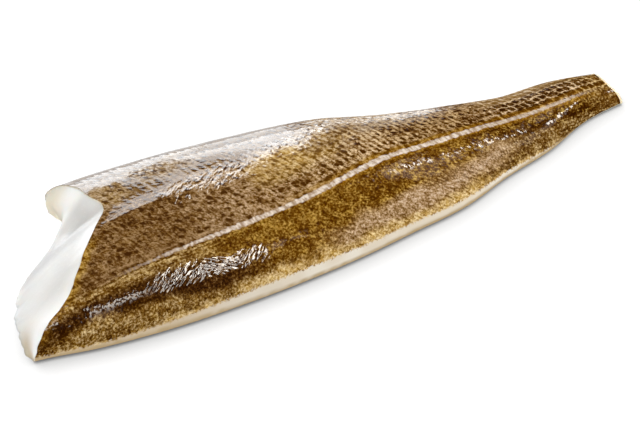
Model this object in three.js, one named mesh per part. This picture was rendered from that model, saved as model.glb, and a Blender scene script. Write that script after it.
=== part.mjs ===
// Skin-on cod fillet: one side of a large cod, cut off behind the head and short of the tail fin,
// lying skin side up. Millimetres, +Z up. +X runs from the head cut to the tail, +Y from the belly
// edge to the back edge. The origin is under the middle of the fillet, on its resting face.

import * as THREE from 'three';
import { ParametricGeometry } from 'three/addons/geometries/ParametricGeometry.js';
import { mergeVertices } from 'three/addons/utils/BufferGeometryUtils.js';

const LENGTH = 440; // the stations below are evenly spread over this length, from the head tip
const LIP = 2.5; // height of the thin rim all round, where the skin meets the underside

// Cross-section, one value for each station, from the head to the tail.
const BELLY = [24, 35.5, 43.5, 48, 50.5, 51, 49, 46.5, 37, 30, 18, 15]; // belly edge, towards -Y
const BACK = [82, 90, 90.5, 87.5, 82.5, 77, 68.5, 51.5, 39.5, 29, 25, 16]; // back edge, towards +Y
const RIDGE = [20, 31, 33.5, 31.5, 28.5, 24.5, 19.5, 13, 7.5, 3.5, 1, 4]; // line of the thickest meat
const HEIGHT = [30, 37, 40.5, 40.5, 39.5, 36.5, 33, 27.5, 23, 19, 17.5, 12.5]; // height on that line
const BELLY_FULLNESS = [2.3, 2.3, 2.25, 2.2, 2.15, 2.1, 2.05, 2, 2, 2, 2, 2]; // 2 is an ellipse
const BACK_FULLNESS = 2.2;
const RIDGE_SHARE = 0.55; // how far across the skin the ridge lies

// Head cut: a long ramp over the loin and a steep lobe at the back edge, with a notch between.
// One value for each tenth of the way across, from the belly edge to the back edge.
const HEAD_SKIN = [4, 8, 16, 33, 48, 67, 77, 76, 73, 70, 72]; // where the skin starts
const CORNER = { reach: 7, across: 0.54, width: 0.04 }; // of skin between the loin and the lobe
const HEAD_FOOT = [4, 4, 7, 10, 17, 27, 48, 70, 75, 74, 72]; // where the cut meets the underside
const FOOT_LEAD = 0.12; // share of the width that the foot lies further to the back than the skin
const HEAD_BULGE = [0, 0, 1, 2, 3, 3, 2, 3, 5, 2, 0]; // how far the cut face swells towards -X

// Tail cut, nearly square to the length.
const TAIL_SKIN = [434, 433, 431, 432, 436, 437];
const TAIL_FOOT = [434, 433, 431, 432, 435, 437];

const STEPS = { skin: 56, tail: 3, underside: 56, head: 8, across: 28 };

const { lerp, clamp } = THREE.MathUtils;

// A smooth curve through evenly spaced values, read at t from 0 to 1.
function along(values, t) {
  const last = values.length - 1;
  const place = clamp(t, 0, 1) * last;
  const i = Math.min(Math.floor(place), last - 1);
  const w = place - i;
  const [before, start] = [values[Math.max(i - 1, 0)], values[i]];
  const [end, after] = [values[i + 1], values[Math.min(i + 2, last)]];
  const leave = (end - before) / 2;
  const arrive = (after - start) / 2;
  return start + w * (leave + w * (3 * (end - start) - 2 * leave - arrive
    + w * (2 * (start - end) + leave + arrive)));
}

// Where the skin starts: the even curve, and a corner on it as a bell curve.
function headSkin(v) {
  return along(HEAD_SKIN, v) + CORNER.reach * Math.exp(-(((v - CORNER.across) / CORNER.width) ** 2));
}

// Edges of the cross-section at x: where the skin comes down to the rim on each side.
function edges(x) {
  return { belly: -along(BELLY, x / LENGTH), back: along(BACK, x / LENGTH) };
}

// Skin: two superellipse quarters that meet on the ridge, v from 0 at the belly to 1 at the back.
function skinPoint(x, v, target) {
  const { belly, back } = edges(x);
  const ridge = along(RIDGE, x / LENGTH);
  const onBelly = v <= RIDGE_SHARE;
  const angle = (onBelly ? v / RIDGE_SHARE : (1 - v) / (1 - RIDGE_SHARE)) * Math.PI / 2;
  const power = 2 / (onBelly ? along(BELLY_FULLNESS, x / LENGTH) : BACK_FULLNESS);
  const out = Math.max(Math.cos(angle), 0) ** power;
  const up = Math.sin(angle) ** power;
  const y = lerp(ridge, onBelly ? belly : back, out);
  return target.set(x, y, lerp(LIP, along(HEIGHT, x / LENGTH), up));
}

// How far across the foot of the head cut lies: the lead grows towards the back as half a sine
// wave of the square of v, and is gone at both edges.
function footAcross(v) {
  return v + FOOT_LEAD * Math.sin(Math.PI * v ** 2);
}

// Underside: flat on the table, and turned up to the rim along both edges.
const TURN_UP = 0.06; // share of the width that turns up at each edge

function undersidePoint(u, v, target) {
  const x = lerp(along(HEAD_FOOT, v), along(TAIL_FOOT, v), u);
  const { belly, back } = edges(x);
  const y = lerp(belly, back, lerp(footAcross(v), v, u));
  const toEdge = Math.min(v, 1 - v) / TURN_UP;
  return target.set(x, y, LIP * Math.max(1 - toEdge, 0) ** 2);
}

// A cut face is ruled from the skin's end down to the underside, and swells by bulge.
const foot = new THREE.Vector3();

function headCutPoint(v, down, target) {
  skinPoint(headSkin(v), v, target).lerp(undersidePoint(0, v, foot), down);
  target.x -= along(HEAD_BULGE, v) * 4 * down * (1 - down);
  return target;
}

function tailCutPoint(v, down, target) {
  return skinPoint(along(TAIL_SKIN, v), v, target).lerp(undersidePoint(1, v, foot), down);
}

// Round the fillet at a fixed v: along the skin to the tail, down the tail cut, back along the
// underside and up the head cut.
const ROUND = STEPS.skin + STEPS.tail + STEPS.underside + STEPS.head;

function filletPoint(turn, v, target) {
  let step = turn * ROUND;
  if (step <= STEPS.skin) {
    return skinPoint(lerp(headSkin(v), along(TAIL_SKIN, v), step / STEPS.skin), v, target);
  }
  step -= STEPS.skin;
  if (step <= STEPS.tail) {
    return tailCutPoint(v, step / STEPS.tail, target);
  }
  step -= STEPS.tail;
  if (step <= STEPS.underside) {
    return undersidePoint(1 - step / STEPS.underside, v, target);
  }
  step -= STEPS.underside;
  return headCutPoint(v, 1 - step / STEPS.head, target);
}

// The loops at the belly and back edges are pressed flat, so equal corners are joined there and
// triangles left without an area are dropped.
function closedGeometry() {
  const sheet = new ParametricGeometry(filletPoint, ROUND, STEPS.across);
  sheet.deleteAttribute('normal');
  sheet.deleteAttribute('uv');
  const joined = mergeVertices(sheet, 1e-3);
  const corners = joined.index.array;
  const kept = [];
  for (let i = 0; i < corners.length; i += 3) {
    const [a, b, c] = corners.slice(i, i + 3);
    if (a !== b && b !== c && c !== a) kept.push(a, b, c);
  }
  joined.setIndex(kept);
  return joined;
}

const geometry = closedGeometry();
geometry.computeBoundingBox();
const middle = geometry.boundingBox.getCenter(new THREE.Vector3());
geometry.translate(-middle.x, -middle.y, 0);
geometry.computeVertexNormals();

const fillet = new THREE.Mesh(
  geometry,
  new THREE.MeshStandardMaterial({ color: '#8a6f43', roughness: 0.35, metalness: 0 }),
);
fillet.name = 'cod_fillet';

const group = new THREE.Group();
group.add(fillet);

export default group;
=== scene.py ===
"""Skin-on cod fillet, lying skin side up: white flesh with a slanting head cut, and the skin over
it. Lengths are millimetres, turned to metres where a mesh or a material is made. Lamps and
camera are placed in metres."""

import math

import bpy
import numpy as np
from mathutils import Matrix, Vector


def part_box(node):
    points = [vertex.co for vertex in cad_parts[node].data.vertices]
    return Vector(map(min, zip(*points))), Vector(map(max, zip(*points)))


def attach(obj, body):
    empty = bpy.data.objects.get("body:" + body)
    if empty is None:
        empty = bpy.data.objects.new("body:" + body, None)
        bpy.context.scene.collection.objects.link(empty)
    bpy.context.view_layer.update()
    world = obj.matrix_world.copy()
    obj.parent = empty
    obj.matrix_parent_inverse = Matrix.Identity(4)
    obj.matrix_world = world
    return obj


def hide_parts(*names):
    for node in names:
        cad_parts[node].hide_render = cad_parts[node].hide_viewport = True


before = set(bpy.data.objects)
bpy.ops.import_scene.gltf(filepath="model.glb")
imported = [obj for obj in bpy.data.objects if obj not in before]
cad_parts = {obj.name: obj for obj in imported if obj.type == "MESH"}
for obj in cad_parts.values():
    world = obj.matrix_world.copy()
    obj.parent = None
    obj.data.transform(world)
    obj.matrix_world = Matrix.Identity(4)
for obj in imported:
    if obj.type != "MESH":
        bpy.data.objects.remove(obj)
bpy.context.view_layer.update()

# ------------------------------------------------------------------------------------------
# Flesh
# The raw white muscle of one side of a cod, cut off the backbone in one piece. It has a long
# slanting cut behind the head, a steep lobe at the back edge and a square cut at the tail.
# The underside is flat and shows the folded bands of muscle.

METRE = 1000  # millimetres in a metre
FINE = 2001  # points of a line that something is measured along

LENGTH = 440  # the stations below are evenly spread over this length, from the head tip
LIP = 2.5  # height of the rim all round, where the skin meets the underside
BELLY = [24, 35.5, 43.5, 48, 50.5, 51, 49, 46.5, 37, 30, 18, 15]  # belly edge, towards -Y
BACK = [82, 90, 90.5, 87.5, 82.5, 77, 68.5, 51.5, 39.5, 29, 25, 16]  # back edge, towards +Y
RIDGE = [20, 31, 33.5, 31.5, 28.5, 24.5, 19.5, 13, 7.5, 3.5, 1, 4]  # line of the thickest meat
HEIGHT = [30, 37, 40.5, 40.5, 39.5, 36.5, 33, 27.5, 23, 19, 17.5, 12.5]  # height on that line
BELLY_FULLNESS = [2.3, 2.3, 2.25, 2.2, 2.15, 2.1, 2.05, 2, 2, 2, 2, 2]  # 2 is an ellipse
BACK_FULLNESS = 2.2
RIDGE_SHARE = 0.55  # how far across the skin the ridge lies

# The cuts: one value for each even step across, from the belly edge to the back edge.
HEAD_SKIN = [4, 8, 16, 33, 48, 67, 77, 76, 73, 70, 72]  # where the skin starts
CORNER = {"reach": 7, "across": 0.54, "width": 0.04}  # of skin between the loin and the lobe
HEAD_FOOT = [4, 4, 7, 10, 17, 27, 48, 70, 75, 74, 72]  # where the cut meets the underside
FOOT_LEAD = 0.12  # share of the width that the foot lies further to the back than the skin
HEAD_BULGE = [0, 0, 1, 2, 3, 3, 2, 3, 5, 2, 0]  # how far the cut face swells towards the head
SKIN_WAVER, FOOT_WAVER = 0.5, 0.9  # of the knife, where the skin starts and at the foot
TAIL_SKIN = [434, 433, 431, 432, 436, 437]  # where the skin's side of the tail cut lies
TAIL_FOOT = [434, 433, 431, 432, 435, 437]  # where the tail cut meets the underside
TURN_UP = 0.06  # share of the width that turns up to the rim at each edge


def along(values, t):
    """A smooth curve through evenly spaced values, read at t from 0 to 1: between two values it
    is the cubic whose slope at each is half the step between that value's neighbours."""
    values = np.asarray(values, float)
    last = len(values) - 1
    place = np.clip(t, 0, 1) * last
    i = np.minimum(place.astype(int), last - 1)
    w = place - i
    before, start = values[np.maximum(i - 1, 0)], values[i]
    end, after = values[i + 1], values[np.minimum(i + 2, last)]
    leave, arrive = (end - before) / 2, (after - start) / 2
    bend = 3 * (end - start) - 2 * leave - arrive
    return start + w * (leave + w * (bend + w * (2 * (start - end) + leave + arrive)))


def lerp(a, b, share):
    """From a to b by a share: a plus the share of their difference."""
    return a + (b - a) * share


LATTICE = 64  # units after which the noise comes again


def noise(x, y, seed):
    """Smooth noise from -1 to 1: random heights on a lattice one unit apart, blended between
    the four nearest with the weight 3f squared minus 2f cubed."""
    heights = np.random.default_rng(seed).uniform(-1, 1, (LATTICE, LATTICE))
    i, j = np.floor(x).astype(int), np.floor(y).astype(int)
    f, g = x - i, y - j
    f, g = f * f * (3 - 2 * f), g * g * (3 - 2 * g)
    i, next_i, j, next_j = i % LATTICE, (i + 1) % LATTICE, j % LATTICE, (j + 1) % LATTICE
    near = lerp(heights[i, j], heights[next_i, j], f)
    far = lerp(heights[i, next_j], heights[next_i, next_j], f)
    return lerp(near, far, g)


def skin_surface(x, v):
    """Outer surface at x, from v = 0 at the belly edge to 1 at the back edge: two superellipse
    quarters that meet on the ridge, y going out with cos and z up with sin to the power 2/n."""
    t = x / LENGTH
    on_belly = v <= RIDGE_SHARE
    angle = np.where(on_belly, v / RIDGE_SHARE, (1 - v) / (1 - RIDGE_SHARE)) * math.pi / 2
    power = 2 / np.where(on_belly, along(BELLY_FULLNESS, t), BACK_FULLNESS)
    side = np.where(on_belly, -along(BELLY, t), along(BACK, t))
    y = lerp(along(RIDGE, t), side, np.maximum(np.cos(angle), 0) ** power)
    z = lerp(LIP, along(HEIGHT, t), np.sin(angle) ** power)
    return np.stack([x, y, z], -1)


def foot_across(v):
    """How far across the foot of the head cut lies: the lead over v grows towards the back as
    half a sine wave of the square of v."""
    return v + FOOT_LEAD * np.sin(math.pi * v**2)


def underside(u, v):
    """Flat on the table from the head cut at u = 0 to the tail at 1, its edges turned up as the
    square of the share of the turn."""
    x = lerp(head_foot(v), along(TAIL_FOOT, v), u)
    belly, back = -along(BELLY, x / LENGTH), along(BACK, x / LENGTH)
    y = lerp(belly, back, lerp(foot_across(v), v, u))
    to_edge = np.minimum(v, 1 - v) / TURN_UP
    return np.stack([x, y, LIP * np.maximum(1 - to_edge, 0) ** 2], -1)


def bump_line(distance, width):
    """A soft ridge: the bell curve of distance over width."""
    return np.exp(-((distance / width) ** 2))


def inside_edges(share, steepness):
    """0 at both ends of a share from 0 to 1, and 1 inside: the share left to the nearer end
    times the steepness, and no more than 1."""
    return np.clip(np.minimum(share, 1 - share) * steepness, 0, 1)


def ragged(v, size):
    """Small waver of a knife cut, none at the two edges: coarse noise and half as much fine."""
    waver = noise(v * 23, v * 0, 11) + 0.5 * noise(v * 61, v * 0, 12)
    return size * waver * inside_edges(v, 25)


def head_skin(v):
    """Where the skin starts: the even curve, a corner on it as a bell curve, and the waver."""
    corner = CORNER["reach"] * bump_line(v - CORNER["across"], CORNER["width"])
    return along(HEAD_SKIN, v) + corner + ragged(v, SKIN_WAVER)


def head_foot(v):
    """Where the head cut meets the underside: the even curve and the waver."""
    return along(HEAD_FOOT, v) + ragged(v, FOOT_WAVER)


def outward(grid):
    """Unit normals of a grid of points: its two directions crossed."""
    n = np.cross(np.gradient(grid, axis=0), np.gradient(grid, axis=1))
    return n / np.maximum(np.linalg.norm(n, axis=-1, keepdims=True), 1e-9)


def even_across(count):
    """Values of v that step evenly over the skin of the section at two fifths of the length."""
    v = np.linspace(0, 1, FINE)
    y, z = skin_surface(np.full_like(v, 0.4 * LENGTH), v).T[1:]
    run = np.concatenate([[0], np.cumsum(np.hypot(np.diff(y), np.diff(z)))])
    return np.interp(np.linspace(0, run[-1], count), run, v)


# The frame's origin lies under the middle of the CAD box; the stations count from the head tip.
box_low, box_high = (np.array(corner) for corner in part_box("cod_fillet"))
stations = np.linspace(0, 1, FINE)
middle_x = (along(HEAD_FOOT, stations).min() + along(TAIL_SKIN, stations).max()) / 2
middle_y = (along(BACK, stations).max() - along(BELLY, stations).max()) / 2
ORIGIN = np.array([middle_x, middle_y, 0]) - (box_low + box_high) / 2 * [METRE, METRE, 0]

SHARP = 50  # degrees between two faces, from which the edge they share is drawn sharp


def closed_piece(name, loops, fields, uv=None):
    """A mesh from a grid whose rows run across and whose columns close round it. The first and
    last columns are pressed flat, so points equal to a thousandth are joined and the triangles
    left without an area dropped. fields are named values at the grid's points: a number each,
    or a colour. uv is the grid laid flat."""
    rows, columns = loops.shape[:2]
    number = np.arange(rows * columns).reshape(rows, columns)
    a, b = number[:, :-1], np.roll(number, -1, axis=0)[:, :-1]
    d, c = number[:, 1:], np.roll(number, -1, axis=0)[:, 1:]
    triangles = np.concatenate([np.stack([a, b, c], -1), np.stack([a, c, d], -1)]).reshape(-1, 3)
    points = loops.reshape(-1, 3)
    _, first, joined = np.unique(
        np.round(points, 3), axis=0, return_index=True, return_inverse=True
    )
    joined = joined.reshape(-1)
    welded = joined[triangles]
    p, q, r = welded.T
    kept = (p != q) & (q != r) & (r != p)
    mesh = bpy.data.meshes.new(name)
    mesh.from_pydata(((points[first] - ORIGIN) / METRE).tolist(), [], welded[kept].tolist())
    for field, values in fields.items():
        flat = values.reshape(rows * columns, -1)[first]
        if flat.shape[1] == 1:
            mesh.attributes.new(field, "FLOAT", "POINT").data.foreach_set("value", flat[:, 0])
        else:
            flat = np.concatenate([flat, np.ones((len(flat), 1))], 1).ravel()
            mesh.color_attributes.new(field, "FLOAT_COLOR", "POINT").data.foreach_set("color", flat)
    if uv is not None:
        layer = mesh.uv_layers.new(name="skin")
        layer.uv.foreach_set("vector", (uv.reshape(-1, 2)[triangles[kept]] / METRE).ravel())
    mesh.shade_smooth()
    mesh.set_sharp_from_angle(angle=math.radians(SHARP))
    piece = bpy.data.objects.new(name, mesh)
    bpy.context.collection.objects.link(piece)
    return piece


FLESH_STEPS = {"skin": 250, "tail": 8, "under": 250, "head": 70}
FLESH_ACROSS = 151  # points from the belly edge to the back edge
FLESH_DEPTH = (0.8, 1.45)  # of the flesh under the skin's outer surface: at its edges, inside
DEEPENS = {"across": 0.05, "along": 6}  # from one to the other: a share of the width, a length


def shares(stretch):
    """Even shares from 0 to 1 along one stretch of the loop round the flesh, as a column."""
    return np.linspace(0, 1, FLESH_STEPS[stretch] + 1)[:, None]


def rise(value, low, high):
    """0 up to low, 1 from high, and between them 3s squared minus 2s cubed of the share s."""
    share = np.clip((value - low) / (high - low), 0, 1)
    return share * share * (3 - 2 * share)


def sunk(surface, v, depth):
    """The surface moved inwards against its normals: by the first depth along both edges and
    the head cut, by the second inside, with a smooth rise between."""
    x = surface[..., 0]
    inside = rise(np.minimum(v, 1 - v), 0, DEEPENS["across"])
    inside = inside * rise(x, x[:1], x[:1] + DEEPENS["along"])
    return surface - outward(surface) * lerp(*depth, inside)[..., None]


across = even_across(FLESH_ACROSS)[None, :]

top_u = shares("skin")
top_v = across + 0 * top_u
top = skin_surface(lerp(head_skin(across), along(TAIL_SKIN, across), top_u), top_v)
top = sunk(top, top_v, FLESH_DEPTH)

# The underside starts from the top's own edges, which lie a little inside the rim.
under_u = 1 - shares("under")
under = underside(under_u, across + 0 * under_u)
under[:, 0], under[:, -1] = top[::-1, 0], top[::-1, -1]

# Folded muscle bands of the underside: chevrons that point to the head on the midline. A band
# runs back from the midline as a sine wave and forward again as a square, less so where the
# fillet is narrow. Its edges and the midline are grooves, which go up into the flesh.
BAND = 9.5  # width of one muscle band
BAND_EDGE = 0.32  # share of half a band that its groove takes
MIDLINE = 0.47  # how far across the underside the midline lies
GROOVE_DEPTH = 0.55
ux, uy = under[..., 0], under[..., 1]
u_belly, u_back = along(BELLY, ux / LENGTH), along(BACK, ux / LENGTH)
from_midline = (uy - lerp(-u_belly, u_back, MIDLINE)) / (u_belly + u_back) * 2
chevron = 26 * np.sin(np.abs(from_midline) * 2.6) - 8 * from_midline**2
band = (ux - chevron * np.clip(u_back / 80, 0.3, 1) + 3 * noise(ux / 30, uy / 25, 3)) / BAND
band_edge = 1 - np.abs((band % 1) - 0.5) * 2
flat_part = inside_edges(across, 12) * inside_edges(under_u, 14)
groove = bump_line(band_edge, BAND_EDGE) + 0.8 * bump_line(from_midline, 0.03)
under[..., 2] += GROOVE_DEPTH * groove * flat_part

# Head cut: ruled from the skin's end down to the underside, swollen, then worked with a crease
# between loin and lobe, a low ridge beside it, a hollow in the lobe, and the soft ripples of
# cut muscle. The waver of the skin's end and of the foot each fade quickly over the face.
down = 1 - shares("head")
cut = lerp(top[0][None], under[-1][None], down[..., None])
cut[..., 0] -= along(HEAD_BULGE, across) * 4 * down * (1 - down)
cut[..., 0] -= ragged(across, FOOT_WAVER) * (down - down**8)
cut[..., 0] -= ragged(across, SKIN_WAVER) * (1 - down - (1 - down) ** 8)
from_crease = across - lerp(0.55, 0.62, down)
crease = -0.9 * bump_line(from_crease, 0.03)
ridge = 0.15 * bump_line(from_crease + 0.06, 0.035)
lobe_hollow = -2.0 * bump_line(across - 0.80, 0.07) * down
ripple = 0.12 * noise(across * 9 + down * 2, down * 3, 4) + 0.4 * noise(across * 5, down * 3, 5)
on_face = np.sin(math.pi * down) ** 0.5 * inside_edges(across, 12)
cut = cut + outward(cut) * ((ripple + (crease + ridge + lobe_hollow)) * on_face)[..., None]

# Tail cut: the flesh stands a little proud of the skin's end, but not at its two edges.
fall = shares("tail")
tail = lerp(top[-1][None], under[0][None], fall[..., None])
proud = np.sin(math.pi * fall) ** 0.6 * inside_edges(across, 12)
tail[..., 0] += (0.8 + 0.5 * noise(across * 14, fall * 3, 6)) * proud


def srgb(*levels):
    """A colour given in screen levels from 0 to 255, as linear light."""
    level = np.array(levels) / 255
    return np.where(level <= 0.04045, level / 12.92, ((level + 0.055) / 1.055) ** 2.4)


def mixed(a, b, share):
    """Colour a turning to colour b by a share at each point."""
    return lerp(a, b, share[..., None])


MEAT_PAINTED_SHADE = srgb(201, 200, 198)
MEAT_PAINTED_LIGHT = srgb(240, 239, 237)
MEAT_RIDGE_PAINTED_SHADE = srgb(176, 175, 174)
MEAT_CREAM = srgb(226, 216, 190)
MEAT_GREY = srgb(222, 221, 216)
MEAT_LOBE = srgb(225, 218, 203)
MEAT_NOTCH_PAINTED_LIGHT = srgb(250, 248, 243)
MEAT_BROWN = srgb(196, 176, 140)
SEAM_WHITE_AND_PAINTED_LIGHT = srgb(246, 244, 240)
FOOT_CREAM = srgb(194, 179, 154)

# The cut face has painted light and shade: its top is painted darker, and it is painted brighter
# towards its foot and its belly end. Each tint is laid over the ones before it by its share.
painted_light_share = np.maximum(0.6 * rise(down, 0, 0.7), 1 - rise(across, 0.22, 0.42))
cut_colour = mixed(MEAT_PAINTED_SHADE, MEAT_PAINTED_LIGHT, painted_light_share)
for tint, share in (
    # painted shade that dims the bright ridge beside the crease
    (MEAT_RIDGE_PAINTED_SHADE, 0.85 * bump_line(across - 0.52, 0.05)),
    # painted light: a whiter band on the cut face just under the skin
    (SEAM_WHITE_AND_PAINTED_LIGHT, 0.35 * (1 - rise(down, 0, 0.25))),
    # painted light on the shaded right part of the lobe beside the notch
    (MEAT_NOTCH_PAINTED_LIGHT, rise(across, 0.60, 0.66)),
    (MEAT_LOBE, rise(across, 0.68, 0.78)),
    (MEAT_CREAM, 0.9 * bump_line(across - 0.86, 0.09) * (0.3 + 0.7 * down)),
    (FOOT_CREAM, (1 - rise(across, 0.1, 0.34)) * rise(down, 0.3, 0.8)),
    (MEAT_BROWN, np.clip(1 - across / 0.04, 0, 1)),
):
    cut_colour = mixed(cut_colour, tint, share)
under_colour = mixed(MEAT_GREY, MEAT_CREAM, 0.35 + 0.3 * noise(ux / 40, uy / 30, 7))
under_colour = mixed(under_colour, MEAT_BROWN, 0.35 * bump_line(from_midline, 0.07))
under_colour = mixed(under_colour, SEAM_WHITE_AND_PAINTED_LIGHT, 0.8 * bump_line(band_edge, 0.22) * flat_part)
top_colour, tail_colour = (np.broadcast_to(MEAT_CREAM, face.shape) for face in (top, tail))

# The loop round the flesh: each face without its last row, which is the next face's first.
faces = (top, tail, under, cut)
face_colours = (top_colour, tail_colour, under_colour, cut_colour)
flesh = closed_piece(
    "flesh",
    np.concatenate([face[:-1] for face in faces]),
    {"meat": np.concatenate([face_colour[:-1] for face_colour in face_colours])},
)


class Finish:
    """A material's nodes: a method adds what it needs and gives back the result. Its inputs are
    numbers, colours or other results. A node's sockets are numbered where names are shared."""

    def __init__(self, name):
        self.material = bpy.data.materials.new(name)
        self.material.use_nodes = True
        self.tree = self.material.node_tree
        self.shader = self.tree.nodes["Principled BSDF"]

    def node(self, kind, inputs, output=0, **settings):
        """A shader node with these inputs and settings."""
        made = self.tree.nodes.new("ShaderNode" + kind)
        for name, value in settings.items():
            setattr(made, name, value)
        for key, value in inputs.items():
            self.feed(made.inputs[key], value)
        return made.outputs[output]

    def feed(self, socket, value):
        """Links a result to a socket, or sets the socket to a number or a colour."""
        if isinstance(value, bpy.types.NodeSocket):
            self.tree.links.new(value, socket)
        elif hasattr(value, "__len__") and len(value) == 3 and socket.type == "RGBA":
            socket.default_value = (*value, 1)
        else:
            socket.default_value = value

    def set(self, **inputs):
        """Feeds the shader's own inputs, named with _ for each space."""
        for name, value in inputs.items():
            self.feed(self.shader.inputs[name.replace("_", " ")], value)

    def field(self, name):
        """The mesh's own number at each point."""
        return self.node("Attribute", {}, "Fac", attribute_name=name)

    def colour_field(self, name):
        """The mesh's own colour at each point."""
        return self.node("Attribute", {}, "Color", attribute_name=name)

    def place(self):
        """Object coordinates, in metres."""
        return self.node("TexCoord", {}, "Object")

    def math(self, operation, a, b=0.0, c=0.0):
        """The numbers put through one operation: MULTIPLY_ADD is a times b, plus c."""
        return self.node("Math", {0: a, 1: b, 2: c}, operation=operation)

    def product(self, first, *others):
        """All the values multiplied together."""
        for other in others:
            first = self.math("MULTIPLY", first, other)
        return first

    def scaled(self, vector, x, y, z):
        """Each coordinate times its own number."""
        return self.node("VectorMath", {0: vector, 1: (x, y, z)}, operation="MULTIPLY")

    def shifted(self, vector, by):
        """The two vectors added."""
        return self.node("VectorMath", {0: vector, 1: by}, operation="ADD")

    def clouds(self, vector, size, detail, roughness, output=0):
        """Noise with features of this many millimetres."""
        inputs = {"Vector": vector, "Scale": METRE / size, "Detail": detail, "Roughness": roughness}
        return self.node("TexNoise", inputs, output)

    def cells(self, vector, randomness, output=0):
        """Distance to the nearest of points scattered one to each unit cell. The output Color
        is a random colour for each cell instead."""
        inputs = {"Vector": vector, "Scale": 1.0, "Randomness": randomness}
        return self.node("TexVoronoi", inputs, output)

    def ease(self, value, low, high, start=0.0, end=1.0, kind="SMOOTHSTEP"):
        """Goes from start to end as value goes from low to high, smoothly or in a line."""
        inputs = {"Value": value, "From Min": low, "From Max": high, "To Min": start, "To Max": end}
        return self.node("MapRange", inputs, interpolation_type=kind)

    def between(self, share, a, b):
        """Number a turning to number b by a share."""
        return self.node("Mix", {"Factor": share, "A": a, "B": b})

    def mix(self, share, a, b, blend="MIX"):
        """Colour a turning to colour b by a share, or multiplied by it."""
        inputs = {0: share, 6: a, 7: b}
        return self.node("Mix", inputs, 2, data_type="RGBA", blend_type=blend)

    def relief(self, height, depth, normal=None):
        """Bump of this depth in millimetres."""
        inputs = {"Height": height, "Distance": depth / METRE, "Strength": 1.0}
        if normal is not None:
            inputs["Normal"] = normal
        return self.node("Bump", inputs)


# Wet muscle: long greyish veins, fine bright grains, and light that spreads a few millimetres
# under the surface.
VEIN_GREY = srgb(214, 210, 201)
GRAIN_WHITE = srgb(248, 247, 244)
meat = Finish("raw white flesh")
place = meat.place()
veins = meat.clouds(meat.scaled(place, 0.35, 1.0, 0.5), 7, 3, 0.55)
grain = meat.clouds(place, 1.6, 2, 0.6)
colour = meat.colour_field("meat")
colour = meat.mix(meat.ease(veins, 0.5, 0.75, 0.0, 0.2), colour, VEIN_GREY)
colour = meat.mix(meat.ease(grain, 0.55, 0.8, 0.0, 0.2), colour, GRAIN_WHITE)
wetness = meat.ease(veins, 0.35, 0.65, 0.28, 0.42)
fibres = meat.relief(veins, 0.3, meat.relief(grain, 0.06))
meat.set(
    Base_Color=colour,
    Roughness=wetness,
    Subsurface_Weight=0.45,
    Subsurface_Radius=(0.0060, 0.0042, 0.0032),
    Subsurface_Scale=1.0,
    Specular_IOR_Level=0.5,
    IOR=1.4,
    Coat_Weight=0.2,
    Coat_Roughness=0.15,
    Normal=fibres,
)
flesh.data.materials.append(meat.material)
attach(flesh, "root")
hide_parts("cod_fillet")

# ------------------------------------------------------------------------------------------
# Skin
# The scaled, slimy skin over the whole top of the fillet, cut with the flesh at both ends. It
# is brown and densely spotted on the back, golden with fine speckles on the side and cream along
# the belly edge. The pale lateral line lies in a shallow groove.

SKIN_STEPS = {"along": 400, "across": 120, "cut": 3}
OUTER_DEPTH = 0.5  # of the skin's outer face under the fillet's surface, before its relief
INNER_DEPTH = (0.9, 1.55)  # of its inner face: a little inside the flesh, so that no gap shows
SKIN_SHORT = 2.6  # the skin ends this far before the flesh at the tail
LATERAL = [0.27, 0.31, 0.34, 0.42, 0.43, 0.37]  # share across, head to tail, of the lateral line
CREAM_BAND = [1, 4, 7, 6, 4, 1, -4]  # width, head to tail, of the cream belly margin
ROW_LEAN = 0.27  # scale rows lean this far to the head for each unit towards the back
ROW_PITCH = 4.5  # from one scale row to the next
CUT_SLANT = 0.75  # how far off the slanting head cut a point is, for each unit along x


def patch(value, low, high, soft):
    """1 between low and high, with a smooth rise and fall over soft on each side of both."""
    return rise(value, low - soft, low + soft) * (1 - rise(value, high - soft, high + soft))


# Distance over the skin from the belly edge, measured across at each millimetre of the length:
# the steps between neighbouring points added up.
table_x = np.linspace(0, LENGTH, LENGTH + 1)
table_v = np.linspace(0, 1, 801)  # and this many points across each section
section = skin_surface(table_x[:, None] + 0 * table_v, table_v + 0 * table_x[:, None])
strides = np.linalg.norm(np.diff(section, axis=1), axis=-1)
table_girth = np.concatenate([np.zeros((len(table_x), 1)), np.cumsum(strides, axis=1)], axis=1)


def girth(x, v):
    """Distance over the skin from the belly edge, read between the four nearest table entries."""
    p = np.clip(x / LENGTH, 0, 1) * (len(table_x) - 1)
    q = np.clip(v, 0, 1) * (len(table_v) - 1)
    i = np.minimum(p.astype(int), len(table_x) - 2)
    j = np.minimum(q.astype(int), len(table_v) - 2)
    low = lerp(table_girth[i, j], table_girth[i + 1, j], p - i)
    high = lerp(table_girth[i, j + 1], table_girth[i + 1, j + 1], p - i)
    return lerp(low, high, q - j)


v = even_across(SKIN_STEPS["across"] + 1)[None, :]
u = np.linspace(0, 1, SKIN_STEPS["along"] + 1)[:, None]
x = lerp(head_skin(v), along(TAIL_SKIN, v) - SKIN_SHORT, u)
v = v + 0 * x
outer = skin_surface(x, v)

# Where each point lies: x counts from the head tip, side over the skin from the lateral line, +
# to the back, belly and back over the skin from the two edges, and cut_edge from the head cut.
# The drifts are noise that makes the edges of every zone wander.
side = girth(x, v) - girth(x, along(LATERAL, x / LENGTH))
belly = girth(x, v)
back = girth(x, np.ones_like(v)) - belly
cut_edge = (x - head_skin(v)) * CUT_SLANT
drift = noise(x / 14, side / 10, 20)
small_drift = noise(x / 4, side / 3.5, 21)
leaning_x = x + ROW_LEAN * np.maximum(side, 0)

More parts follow.
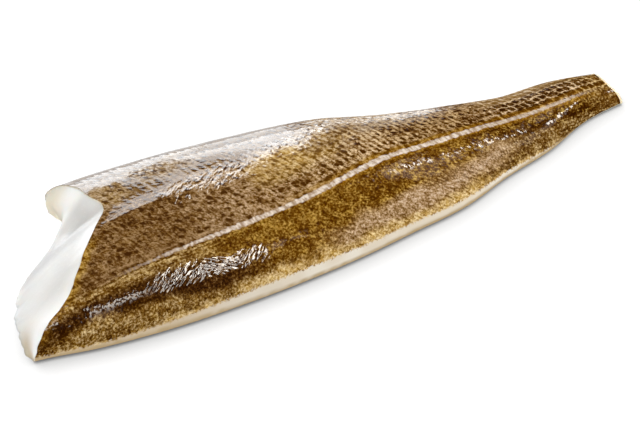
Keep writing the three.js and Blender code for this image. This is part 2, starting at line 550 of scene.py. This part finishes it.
# Relief: the groove of the lateral line, the unevenness of slack skin, a sharp and a soft fold
# along the back near the head, and low scale rows. It is gone at the skin's edges.
relief = -0.2 * bump_line(side, 1.8) * rise(x, 60, 200)
relief = relief + 0.22 * noise(x / 26, side / 15, 22) + 0.10 * noise(x / 9, side / 8, 23)
past_crest = side - np.interp(x, [60, 95, 125, 150], [33, 37, 38, 30])
climb = np.clip(1 + past_crest / 8, 0, 1) ** 1.5
fall_off = np.exp(-np.maximum(past_crest, 0) / 7)
sharp_fold, soft_fold = np.where(past_crest < 0, climb, fall_off), bump_line(side - 69, 10)
relief = relief + (0.95 * sharp_fold + 0.55 * soft_fold) * patch(x, 60, 150, 25)
row_phase = leaning_x / ROW_PITCH * 2 * math.pi
rows_relief = rise(side, 4, 10) * (1 - 0.85 * patch(x, 150, 270, 20) * rise(side, 22, 32))
relief = relief + 0.05 * np.sin(row_phase + 0.8 * drift) * rows_relief
held = np.clip(np.minimum(np.minimum(belly, back), cut_edge) / 4, 0, 1)  # over the last 4 mm
skin_out = outer + outward(outer) * ((relief - OUTER_DEPTH) * held)[..., None]
skin_in = lerp(outer, sunk(outer, v, INNER_DEPTH), inside_edges(v, 60)[..., None])

# Colours. Brown pigment lies over a pale web. Each zone is its web and three depths of pigment,
# in layers: in the lines between the spots, on the ground between them, and on the spots.
PIGMENT = np.array([0.5, 0.4, 0.24])  # share of red, green and blue light that one layer leaves
PINK_WEB = srgb(221, 202, 186)
TAN_WEB = srgb(220, 198, 166)
GREY_WEB = srgb(215, 202, 190)
OLIVE_WEB = srgb(220, 199, 152)
GOLD_WEB = srgb(225, 196, 112)
CREAM_WEB = srgb(232, 212, 168)


def tones(web, lines, ground, spots):
    """The web's light times the pigment's share, once for each layer."""
    return web * PIGMENT ** np.array([[lines], [ground], [spots]])


def laid(under, zone, share):
    """The tones of a zone laid over what is under them, by a share at each point."""
    return lerp(under, zone, share[..., None, None])


BACK_HEAD = tones(PINK_WEB, 1.0, 2.7, 4.1)
BACK_FRONT = tones(PINK_WEB, 0.5, 2.1, 3.8)
BACK_MIDDLE = tones(TAN_WEB, 0.1, 2.1, 3.9)
BACK_REAR = tones(TAN_WEB, 0.4, 2.6, 4.4)
BACK_TAIL = tones(TAN_WEB, 0.0, 2.6, 5.2)
BACK_TOP_TAIL = tones(GREY_WEB, 0.5, 1.5, 2.4)
BACK_OLIVE = tones(OLIVE_WEB, 0.2, 1.1, 2.2)
BACK_PAINTED_SHEEN = tones(GREY_WEB, 0.6, 1.6, 2.9)
BACK_TOP = tones(GREY_WEB, 1.7, 2.8, 4.3)
BACK_DRY = tones(GREY_WEB, 0.4, 1.6, 3.5)
FLANK_HEAD = tones(OLIVE_WEB, 0.2, 2.2, 3.8)
FLANK_MIDDLE = tones(GOLD_WEB, 0.5, 2.55, 4.0)
FLANK_TAIL = tones(GOLD_WEB, 0.2, 3.0, 4.9)
FLANK_LOW_TAIL = tones(OLIVE_WEB, 0.1, 2.4, 4.4)
CREST = tones(PINK_WEB, 1.2, 3.6, 5.4)
CREST_LOW = tones(OLIVE_WEB, 0.0, 2.0, 4.2)
GREY_SIDE = tones(PINK_WEB, 0.0, 1.1, 2.6)
GOLD_MARGIN = tones(CREAM_WEB, 0.0, 1.0, 2.3)
GOLD_LINE = tones(GOLD_WEB, 0.4, 1.75, 3.0)
GOLD_CUT = tones(GOLD_WEB, 0.3, 1.6, 3.0)
GOLD_TAIL = tones(OLIVE_WEB, 0.2, 2.2, 3.8)

# The back, zone by zone from the head to the tail. Then its yellowish stretch, a pale stretch
# that is a painted sheen, and the greyer skin high on it.
warped_x = x + 9 * drift
skin_tones = laid(BACK_HEAD, BACK_FRONT, rise(warped_x, 95, 150))
skin_tones = laid(skin_tones, BACK_MIDDLE, rise(warped_x, 170, 215))
skin_tones = laid(skin_tones, BACK_REAR, rise(warped_x, 245, 285))
skin_tones = laid(skin_tones, BACK_TAIL, rise(warped_x, 315, 350))
olive = patch(warped_x, 170, 232, 14) * patch(side + 4 * drift, 22, 46, 7)
skin_tones = laid(skin_tones, BACK_OLIVE, 0.85 * olive)
# Painted sheen: the skin is made paler where the soft boxes behind would be mirrored.
painted_sheen_back = patch(warped_x, 210, 300, 18) * rise(side + 4 * drift, 22, 34)
skin_tones = laid(skin_tones, BACK_PAINTED_SHEEN, 0.85 * painted_sheen_back)
skin_tones = laid(skin_tones, BACK_TOP, rise(side + 4 * drift, 40, 54) * (1 - rise(x, 210, 250)))
skin_tones = laid(skin_tones, BACK_TOP_TAIL, rise(warped_x, 320, 350) * rise(side, 15, 21))

# Two patches high on the back near the head, where the skin has dried paler.
dried = patch(x + 4 * drift, 74, 99, 5) * patch(side + 4 * small_drift, 48, 66, 4)
dried_behind = 0.6 * patch(x + 6 * drift, 104, 142, 8) * patch(side + 5 * drift, 54, 74, 6)
dried = np.maximum(dried, dried_behind)
skin_tones = laid(skin_tones, BACK_DRY, dried)

# The side below the lateral line.
flank = laid(FLANK_HEAD, FLANK_MIDDLE, rise(warped_x, 90, 130))
flank = laid(flank, FLANK_TAIL, rise(warped_x, 290, 340))
low_tail = rise(warped_x, 315, 350) * (1 - rise(side + 2 * drift, -16, -11))
flank = laid(flank, FLANK_LOW_TAIL, low_tail)
below = 1 - rise(side + 1.5 * small_drift, -3, 1)
skin_tones = laid(skin_tones, flank, below)

# The gold beside the line, the dark crest behind the head cut and the paler skin under it, the
# greyish stretch low on the side, and gold along the cream band, the head cut and the tail.
near_line = patch(np.abs(side - 0.5) + 0.8 * small_drift, 1.2, 4.6, 1.0) * rise(x, 150, 230)
skin_tones = laid(skin_tones, GOLD_LINE, 0.85 * near_line)
near_head = 1 - rise(warped_x, 105, 165)
under_crest = side - np.interp(x, [50, 70, 95, 120, 170], [7, 6, 3, -1, -2])  # - to the belly
crest_foot = np.interp(x, [50, 100], [-25, -31])
dark_crest = patch(under_crest + 2.5 * drift - crest_foot, 0, -15 - crest_foot, 3) * near_head
skin_tones = laid(skin_tones, CREST, 0.95 * dark_crest)
under_foot = 1 - rise(under_crest + 2 * drift - crest_foot, -2, 3)
crest_low = under_foot * (1 - rise(warped_x, 130, 175))
skin_tones = laid(skin_tones, CREST_LOW, crest_low)
grey_side = patch(belly + 4 * drift, 11, 22, 5) * patch(warped_x, 190, 330, 22)
skin_tones = laid(skin_tones, GREY_SIDE, 0.9 * grey_side)
from_band = belly - along(CREAM_BAND, x / LENGTH)
margin_width = np.interp(x, [20, 60, 110, 150, 250, 330, 370], [1.5, 3, 5, 9, 8, 4, 2])
margin = 1 - rise((from_band + 2 * drift + 1.5 * small_drift) / margin_width, 0.3, 1.1)
margin = margin * (1 - 0.7 * rise(x, 330, 380))
skin_tones = laid(skin_tones, GOLD_MARGIN, margin)
gold_cut = 1 - rise(cut_edge + 2 * small_drift, 1, 6)
gold_cut = gold_cut * rise(belly, 6, 14) * (1 - rise(side, 24, 32))
skin_tones = laid(skin_tones, GOLD_CUT, 0.85 * gold_cut)
skin_tones = laid(skin_tones, GOLD_TAIL, rise(warped_x, 400, 418))

# How strongly each part of the pattern shows: spots, rows of them on the back and blocks of them
# on the tail, streaks in three directions, and the gold between the spots.
on_back = rise(side, 2, 8)
before_tail = 1 - rise(x, 320, 345)
spotting = lerp(0.25, 1.0, rise(side, -3, 4)) * (1 - 0.75 * grey_side)
spotting = spotting * lerp(0.62, 1, rise(x, 90, 170))
rows_share = on_back * (0.35 + 0.65 * patch(x, 190, 300, 30)) * before_tail
blocks = rise(warped_x, 318, 348) * rise(side, -1, 2)
upright = on_back * before_tail + 0.3 * below
slanting = below * rise(x, 130, 200) * (1 - rise(side, -20, -8)) * (1 - rise(x, 300, 330))
lengthwise = patch(side, -9, 2, 2) * patch(x, 25, 130, 15)
lengthwise = lengthwise + rise(x, 360, 385) * (1 - rise(side, -8, -5))
gold = on_back * lerp(0.8, 0.45, rise(x, 95, 140)) + 0.4 * olive
gold = gold + 0.8 * below * (1 - grey_side) + 0.8 * near_line

# Bias makes a place darker, or paler below 0: three pale creases low on the side, pale lines
# along both sides of the front of the line, a scalloped dark edge above the rest of it, and
# darker bands below.
SCALLOP = 5  # length of one scallop
bias = 0.12 * drift + 0.10 * small_drift - 0.1 * margin + 0.3 * dark_crest
for crease_place in (251, 257, 285):
    crease_x = x - crease_place - 0.12 * side + 1.5 * small_drift
    bias = bias - 0.45 * bump_line(crease_x, 0.9) * patch(side, -24, -5, 3)
for beside in (-3.2, 3.4):
    pale_line = bump_line(side - beside + 0.6 * drift, 0.55)
    bias = bias - 0.6 * pale_line * patch(x, 45, 125, 20) * (0.7 + 0.5 * small_drift)
scallops = 0.5 + 0.5 * np.sin(x / SCALLOP * 2 * math.pi)
bias = bias + 0.55 * patch(side, 2.6, 5.6, 1.2) * rise(x, 185, 215) * scallops
bias = bias + 0.2 * patch(side, -5.5, -2.2, 1) * rise(x, 185, 215)
bias = bias + 0.12 * patch(side, -22, -4, 3) * patch(x, 215, 290, 12)
bias = bias + 0.35 * patch(side, -14, -8, 1.5) * rise(x, 300, 340)

# Fine relief: streaks are slanting creases under the crest and on the back, which fall instead
# of rising where falling is 1. Wrinkles pucker the side along one line, and the side just
# behind the head cut is granular.
streaks = patch(x, 74, 146, 7) * patch(under_crest + 0.5 * drift, -24, -12, 2.5)
back_streaks = patch(x + 4 * drift, 112, 170, 7) * patch(side + 2 * drift, 31, 45, 4)
streaks = np.maximum(streaks, 1.7 * back_streaks)
falling = patch(x + 2 * drift, 104, 127, 3) * below
wrinkle_line = -12 + 9 * rise(x, 350, 420)
wrinkles = patch(side - wrinkle_line + drift, -2.2, 2.2, 1.5) * rise(x, 234, 260)
at_head = 1 - rise(x + 3 * drift, 66, 80)
granular = patch(under_crest + drift, -22, -15, 2) * at_head
grit = 0.12 + 0.88 * granular
grit = np.maximum(grit, 0.6 * rise(side + 2 * drift, 24, 34) * (1 - rise(x, 190, 250)))

# Dry says how far the film of slime is gone: at 0 it is mostly there, and from about 1 next to
# nothing of it is left.
dry = np.maximum.reduce([
    dried,
    0.8 * rise(x, 285, 330) * rise(side, 12, 20),  # the ridge of the tail
    0.75 * patch(warped_x, 170, 255, 11) * patch(side + 4 * drift, 24, 42, 7),  # middle of the back
    # Here the film is thinned, and the painted sheen of the pale stretch stands in for its
    # reflection.
    0.52 * patch(x + 12 * drift, 214, 312, 14) * rise(side + 5 * drift, 30, 42),  # high behind it
    1.5 * rise(x + 3 * drift, 140, 152) * (1 - rise(side, 10, 18)),  # the side behind the crest
    1.5 * patch(side, -2.2, 2.2, 1),  # the lateral line
    1.5 * (1 - rise(side, -5, -2)) * at_head,  # the side just behind the head cut
])

# The cream belly band: lighter in drifts, duller at the head, and darkened at its very edge by a
# painted brownish shade, where it turns under towards the table.
CREAM = srgb(213, 204, 189)
CREAM_HEAD = srgb(198, 182, 158)
CREAM_LIGHT = srgb(223, 218, 208)
CREAM_EDGE_PAINTED_SHADE = srgb(172, 148, 106)
cream = mixed(CREAM, CREAM_LIGHT, rise(drift, -0.3, 0.8) * rise(x, 80, 220))
cream = mixed(cream, CREAM_HEAD, 1 - rise(x, 70, 130))
# Painted shade along the band's lowest two millimetres.
cream = mixed(cream, CREAM_EDGE_PAINTED_SHADE, 0.9 * (1 - rise(belly + 0.4 * small_drift, 0.7, 2.6)))

# Lateral line: half its width and how clear it is, from the head to the tail.
line_half = 0.8 + 0.75 * rise(x, 95, 140) + 0.25 * rise(x, 150, 250) - 1.1 * rise(x, 310, 430)
line_clear = 0.95 * rise(x, 50, 115) * (1 - 0.3 * rise(x, 290, 330)) * (1 - rise(x, 385, 420))

# The skin's own map: leaning_x along it, and side across it.
over_skin = np.stack([leaning_x, side], -1)


def shell(outside, inside):
    """The loop round the skin: outside to the tail, over the cut end, back inside, and up the
    cut end at the head."""
    ends = np.linspace(0, 1, SKIN_STEPS["cut"] + 1)[1:-1]
    tail_end = [lerp(outside[-1], inside[-1], e)[None] for e in ends]
    head_end = [lerp(inside[0], outside[0], e)[None] for e in ends]
    return np.concatenate([outside, *tail_end, inside[::-1], *head_end])


fields = {
    "pale": skin_tones[..., 0, :],
    "middle": skin_tones[..., 1, :],
    "dark": skin_tones[..., 2, :],
    "cream": cream,
    "spotting": spotting,
    "rows": rows_share,
    "blocks": blocks,
    "upright": upright,
    "slanting": slanting,
    "lengthwise": lengthwise,
    "gold": gold,
    "bias": bias,
    "streaks": streaks,
    "falling": falling,
    "wrinkles": wrinkles,
    "dry": dry,
    "grit": grit,
    "granular": granular,
    "side": side,
    "from_band": from_band,
    "line_half": line_half,
    "line_clear": line_clear,
}
looks = {name: shell(values, values) for name, values in fields.items()}
looks["inner"] = shell(np.zeros_like(x), np.ones_like(x))
skin = closed_piece("skin", shell(skin_out, skin_in), looks, shell(over_skin, over_skin))

# Patterns are drawn on the skin's map. Those on scales use a map that is warped a little.
WARP = {"size": 5, "reach": 0.0035}  # of the clouds that warp it, and times how many metres
hide = Finish("wet cod skin")
flat = hide.node("UVMap", {}, uv_map="skin")
warp = hide.clouds(flat, WARP["size"], 2, 0.5, output="Color")
warp = hide.shifted(warp, (-0.5, -0.5, -0.5))
scales = hide.shifted(flat, hide.scaled(warp, WARP["reach"], WARP["reach"], 0))

# Spots on the back, one to a scale pocket, some faint and some dark. Near the tail they are
# larger squarish blocks in rows along the line.
POCKET_WIDTH = 3.9  # of a scale pocket, across its row
POCKET_SCATTER = 0.8  # how irregular the pockets are, where 0 is a square net
BLOCK = {"length": 5.2, "width": 5.4, "off_line": 0.0022}  # the last is in metres
pocket = hide.scaled(scales, METRE / ROW_PITCH, METRE / POCKET_WIDTH, 0)
from_pocket = hide.cells(pocket, POCKET_SCATTER)
one_each = hide.cells(pocket, POCKET_SCATTER, output="Color")
how_dark = hide.math("MULTIPLY_ADD", one_each, 1.2, 0.5)
spots = hide.product(hide.ease(from_pocket, 0.56, 0.08), how_dark)
spots = hide.math("MULTIPLY_ADD", spots, 1.15, -0.24)
block_rows = hide.shifted(scales, (0, BLOCK["off_line"], 0))
block_rows = hide.scaled(block_rows, METRE / BLOCK["length"], METRE / BLOCK["width"], 0)
block = hide.node(
    "TexVoronoi",
    {"Vector": block_rows, "Scale": 1.0, "Randomness": 0.3, "Exponent": 3.0},
    distance="MINKOWSKI",
)
block = hide.math("MULTIPLY_ADD", hide.ease(block, 0.54, 0.34), 0.8, -0.42)
spots = hide.between(hide.field("blocks"), spots, block)
shade = hide.product(spots, hide.field("spotting"))

# Pale lines between the rows of pockets.
across_rows = hide.node("SeparateXYZ", {"Vector": scales}, "X")
row_angle = hide.math("MULTIPLY_ADD", across_rows, 2 * math.pi * METRE / ROW_PITCH, -0.8 * math.pi)
row_wave = hide.product(hide.math("COSINE", row_angle), hide.field("rows"))
shade = hide.math("MULTIPLY_ADD", row_wave, 0.25, shade)


def speckled(shade, clouds, amount, share=None):
    """The shade with clouds less a half, times the amount, added: where a field is named as the
    share, only as much as it says."""
    about_zero = hide.math("SUBTRACT", clouds, 0.5)
    if share is not None:
        about_zero = hide.product(about_zero, hide.field(share))
    return hide.math("MULTIPLY_ADD", about_zero, amount, shade)


def turned(degrees, length, width):
    """The skin's map turned by an angle and stretched, so that what is one unit big on it comes
    out this long and this wide."""
    turn = (0, 0, math.radians(degrees))
    inputs = {"Vector": flat, "Rotation": turn, "Scale": (length, width, 1)}
    return hide.node("Mapping", inputs, vector_type="TEXTURE")


# Mottling, fine speckle, and streaks that run up the back, slant on the belly side, or run
# along the line.
shade = speckled(shade, hide.clouds(scales, 3.8, 2, 0.6), 1.1)
shade = speckled(shade, hide.clouds(scales, 8, 2, 0.6), 0.9)
shade = speckled(shade, hide.clouds(flat, 1.5, 2, 0.75), 3.0)
shade = speckled(shade, hide.clouds(hide.scaled(scales, 1, 0.4, 0), 1.5, 2, 0.6), 1.8, "upright")
shade = speckled(shade, hide.clouds(turned(-35, 3, 1), 1.5, 2, 0.6), 2.0, "slanting")
along_line = hide.clouds(hide.scaled(flat, 0.16, 1, 0), 1.7, 2, 0.6)
shade = speckled(shade, along_line, 2.2, "lengthwise")

# The shade turns the pale tone of the web to the middle tone and on to the dark one. Gold
# multiplies the colour where there is pigment.
GOLD_TINT = (1.02, 0.93, 0.5)
shade = hide.math("ADD", shade, hide.math("ADD", hide.field("bias"), 0.5))
to_middle = hide.ease(shade, -0.4, 0.5, kind="LINEAR")
to_dark = hide.ease(shade, 0.5, 1.0, kind="LINEAR")
colour = hide.mix(to_middle, hide.colour_field("pale"), hide.colour_field("middle"))
colour = hide.mix(to_dark, colour, hide.colour_field("dark"))
golden = hide.ease(hide.clouds(scales, 4, 3, 0.65), 0.42, 0.62)
golden = hide.product(golden, to_middle, hide.field("gold"))
colour = hide.mix(golden, colour, GOLD_TINT, "MULTIPLY")

# Cream belly band with a ragged upper edge.
ragged_edge = hide.math("MULTIPLY_ADD", hide.clouds(flat, 1.6, 3, 0.75), 7.0, -3.5)
over_band = hide.math("ADD", hide.field("from_band"), ragged_edge)
colour = hide.mix(hide.ease(over_band, 1.2, -0.4), colour, hide.colour_field("cream"))

# Lateral line: pale, scalloped, with short darker lengths.
wander = hide.math("MULTIPLY_ADD", hide.clouds(flat, 4.5, 2, 0.5), 2.2, -1.1)
off_line = hide.math("ABSOLUTE", hide.math("ADD", hide.field("side"), wander))
short_lengths = hide.scaled(flat, 1.0, 0.4, 0)
teeth = hide.clouds(short_lengths, 2.2, 2, 0.6)
off_line = hide.math("MULTIPLY_ADD", teeth, 2.4, hide.math("SUBTRACT", off_line, 1.2))
inside_line = hide.math("SUBTRACT", off_line, hide.field("line_half"))
line_mask = hide.product(hide.ease(inside_line, 0.45, -0.45), hide.field("line_clear"))
beads = hide.clouds(short_lengths, 3.0, 3, 0.65)
LINE_DARK, LINE_PALE = srgb(152, 131, 110), srgb(216, 206, 197)
colour = hide.mix(line_mask, colour, hide.mix(hide.ease(beads, 0.38, 0.6), LINE_DARK, LINE_PALE))

# The inner face and the cut ends are the silvery white of the skin's underside.
SILVERY = srgb(216, 208, 190)
colour = hide.mix(hide.ease(hide.field("inner"), 0.1, 0.5), colour, SILVERY)

# Scale pockets, fine grain, slanting creases and the puckers of slack skin.
rising_creases = hide.clouds(turned(33, 8, 2.3), 1.0, 1, 0.5)
falling_creases = hide.clouds(turned(-38, 7, 2.0), 1.0, 1, 0.5)
creases = hide.between(hide.field("falling"), rising_creases, falling_creases)
creases = hide.product(hide.ease(creases, 0.3, 0.7), hide.field("streaks"))
pocket_height = hide.ease(from_pocket, 0.0, 0.6, 1.0, 0.0)
fine_clouds = hide.clouds(flat, 1.6, 1, 0.5)
grains = hide.product(fine_clouds, hide.field("grit"))
slack = hide.scaled(flat, 1, 0.6, 0)
puckers = hide.product(hide.clouds(slack, 1.9, 1, 0.5), hide.field("wrinkles"))
normal = None
for height, depth in ((grains, 0.06), (pocket_height, 0.08), (creases, 0.28), (puckers, 0.07)):
    normal = hide.relief(height, depth, normal)

# The film of slime, which mirrors the light, lies over the back, ragged at its edges and nearly
# gone where the skin is dry. Droplets of it are left in clusters on the wrinkles, and on the
# granules behind the head cut.
film_gap = hide.math("MULTIPLY_ADD", hide.clouds(scales, 3.0, 3, 0.65), 1.6, -0.8)
film = hide.ease(hide.math("ADD", hide.field("dry"), film_gap), 0.25, 0.75, 1.0, 0.05)
droplets = hide.ease(hide.clouds(slack, 2.4, 1, 0.5), 0.5, 0.55)
clusters = hide.ease(hide.clouds(flat, 9, 1, 0.5), 0.38, 0.48)
droplets = hide.product(droplets, clusters, hide.field("wrinkles"))
granules = hide.product(hide.ease(fine_clouds, 0.44, 0.5), hide.field("granular"))
film = hide.math("MAXIMUM", film, hide.math("MAXIMUM", droplets, granules))
hide.set(
    Base_Color=colour,
    Roughness=0.45,
    Specular_IOR_Level=0.0,
    Coat_Weight=film,
    Coat_Roughness=0.06,
    Coat_IOR=1.45,
    Normal=normal,
    Coat_Normal=normal,
)
skin.data.materials.append(hide.material)
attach(skin, "root")
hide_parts("cod_fillet")

# ------------------------------------------------------------------------------------------
# Floor, light and camera
# A plain white table in a dim white room. Soft boxes stand where the wet skin mirrors them:
# warm ones overhead, in front and at the tail, and cool ones low behind, with softer edges.

AIM_X = 206  # lamps and camera aim at this x, on the line that the edges are measured from
AIM = Vector(((AIM_X - ORIGIN[0]) / METRE, -ORIGIN[1] / METRE, 0))
NEAR, FAR = 1.6, 2.2  # metres from the aim to the soft boxes in front, and to those behind


def facing_aim(thing, direction, distance):
    """Puts a light or camera at this distance from the aim, looking at it along -Z."""
    direction = Vector(direction).normalized()
    thing.location = AIM + direction * distance
    thing.rotation_mode = "QUATERNION"
    thing.rotation_quaternion = (-direction).to_track_quat("-Z", "Y")
    bpy.context.collection.objects.link(thing)


def soft_box(name, direction, distance, width, height, brightness, colour=(1, 1, 1)):
    """A rectangular lamp of this brightness as seen, where a white floor in full light is 1: its
    power is the brightness times pi times its area."""
    lamp = bpy.data.lights.new(name, "AREA")
    lamp.shape = "RECTANGLE"
    lamp.size, lamp.size_y = width, height
    lamp.energy = brightness * math.pi * width * height
    lamp.color = colour
    box = bpy.data.objects.new(name, lamp)
    box.visible_camera = False
    facing_aim(box, direction, distance)


def toward(azimuth, elevation):
    """Direction at an azimuth counted from -Y towards +X and an elevation, in degrees."""
    azimuth, elevation = math.radians(azimuth), math.radians(elevation)
    level = math.cos(elevation)
    return (math.sin(azimuth) * level, -math.cos(azimuth) * level, math.sin(elevation))


WARM = (1, 0.95, 0.87)
COOL = (0.95, 0.98, 1)
soft_box("overhead soft box", toward(38, 60), NEAR, 0.44, 0.24, 31, WARM)
soft_box("low front soft box", toward(-13, 37), NEAR, 0.2, 0.46, 12.5, WARM)
soft_box("middle front soft box", toward(-9, 52), NEAR, 0.2, 0.36, 12.5, WARM)
soft_box("high front soft box", toward(8, 57), NEAR, 0.34, 0.34, 12.5, WARM)
soft_box("soft box behind the tail", toward(106, 46), NEAR, 0.4, 0.2, 21, WARM)
soft_box("tail soft box", toward(78, 39), NEAR, 0.34, 0.2, 23, WARM)
soft_box("back soft box", toward(168, 17), FAR, 1.8, 0.56, 6.3, COOL)
soft_box("upper back soft box", toward(168, 31), FAR, 1.8, 0.56, 5.0, COOL)
for azimuth, brightness in ((144.4, 3.4), (141.3, 1.7), (138.2, 0.8)):
    soft_box("edge of the back soft box", toward(azimuth, 21), FAR, 0.12, 1.1, brightness, COOL)
soft_box("low back soft box", toward(172, 1), FAR, 1.35, 0.7, 3.7, COOL)
soft_box("side of the low back soft box", toward(147, 1), FAR, 0.6, 0.7, 2.9, COOL)
soft_box("bright table behind", toward(161, -19), FAR, 2.2, 0.85, 1.0)
soft_box("head end soft box", toward(-92, 16), NEAR, 1.2, 0.9, 4.5)

ROOM_LIGHT = 0.03  # of the dim room, where 1 is full white
room = bpy.data.worlds.new("white room")
room.use_nodes = True
room.node_tree.nodes["Background"].inputs["Color"].default_value = (1, 1, 1, 1)
room.node_tree.nodes["Background"].inputs["Strength"].default_value = ROOM_LIGHT
bpy.context.scene.world = room

# The table gives its own white light, less of it close to the fillet on the belly side, where a
# soft contact shadow lies.
HALF_TABLE = 4  # metres
SHADOW_REACH = 0.016  # metres from the fillet
TABLE_LIGHT = 0.97  # of the table by itself, where 1 is full white
floor_mesh = bpy.data.meshes.new("floor")
corners = [(HALF_TABLE * a, HALF_TABLE * b, 0) for a, b in ((-1, -1), (1, -1), (1, 1), (-1, 1))]
floor_mesh.from_pydata(corners, [], [(0, 1, 2, 3)])
floor = bpy.data.objects.new("floor", floor_mesh)
floor.visible_glossy = False
bpy.context.collection.objects.link(floor)
white_table = Finish("white table")
near = white_table.node("AmbientOcclusion", {"Distance": SHADOW_REACH}, "AO", samples=8)
across_table = white_table.node("SeparateXYZ", {"Vector": white_table.place()}, "Y")
belly_side = white_table.ease(across_table, -0.01, 0.02, 1.0, 0.0)
near = white_table.ease(belly_side, 0.0, 1.0, 1.0, near, kind="LINEAR")
white_table.set(
    Base_Color=(0.08, 0.08, 0.08),
    Roughness=0.6,
    Specular_IOR_Level=0.2,
    Emission_Color=(1.0, 1.0, 1.0),
    Emission_Strength=white_table.product(near, TABLE_LIGHT),
)
floor_mesh.materials.append(white_table.material)

# The camera stands at the head end of the belly side, and looks down at the fillet.
FOCAL_LENGTH = 100
CAMERA_DISTANCE = 1.06
lens = bpy.data.cameras.new("camera")
lens.lens = FOCAL_LENGTH
lens.clip_end = 20
camera = bpy.data.objects.new("camera", lens)
facing_aim(camera, toward(-34.5, 37), CAMERA_DISTANCE)
bpy.context.scene.camera = camera
bpy.context.scene.view_settings.view_transform = "Standard"
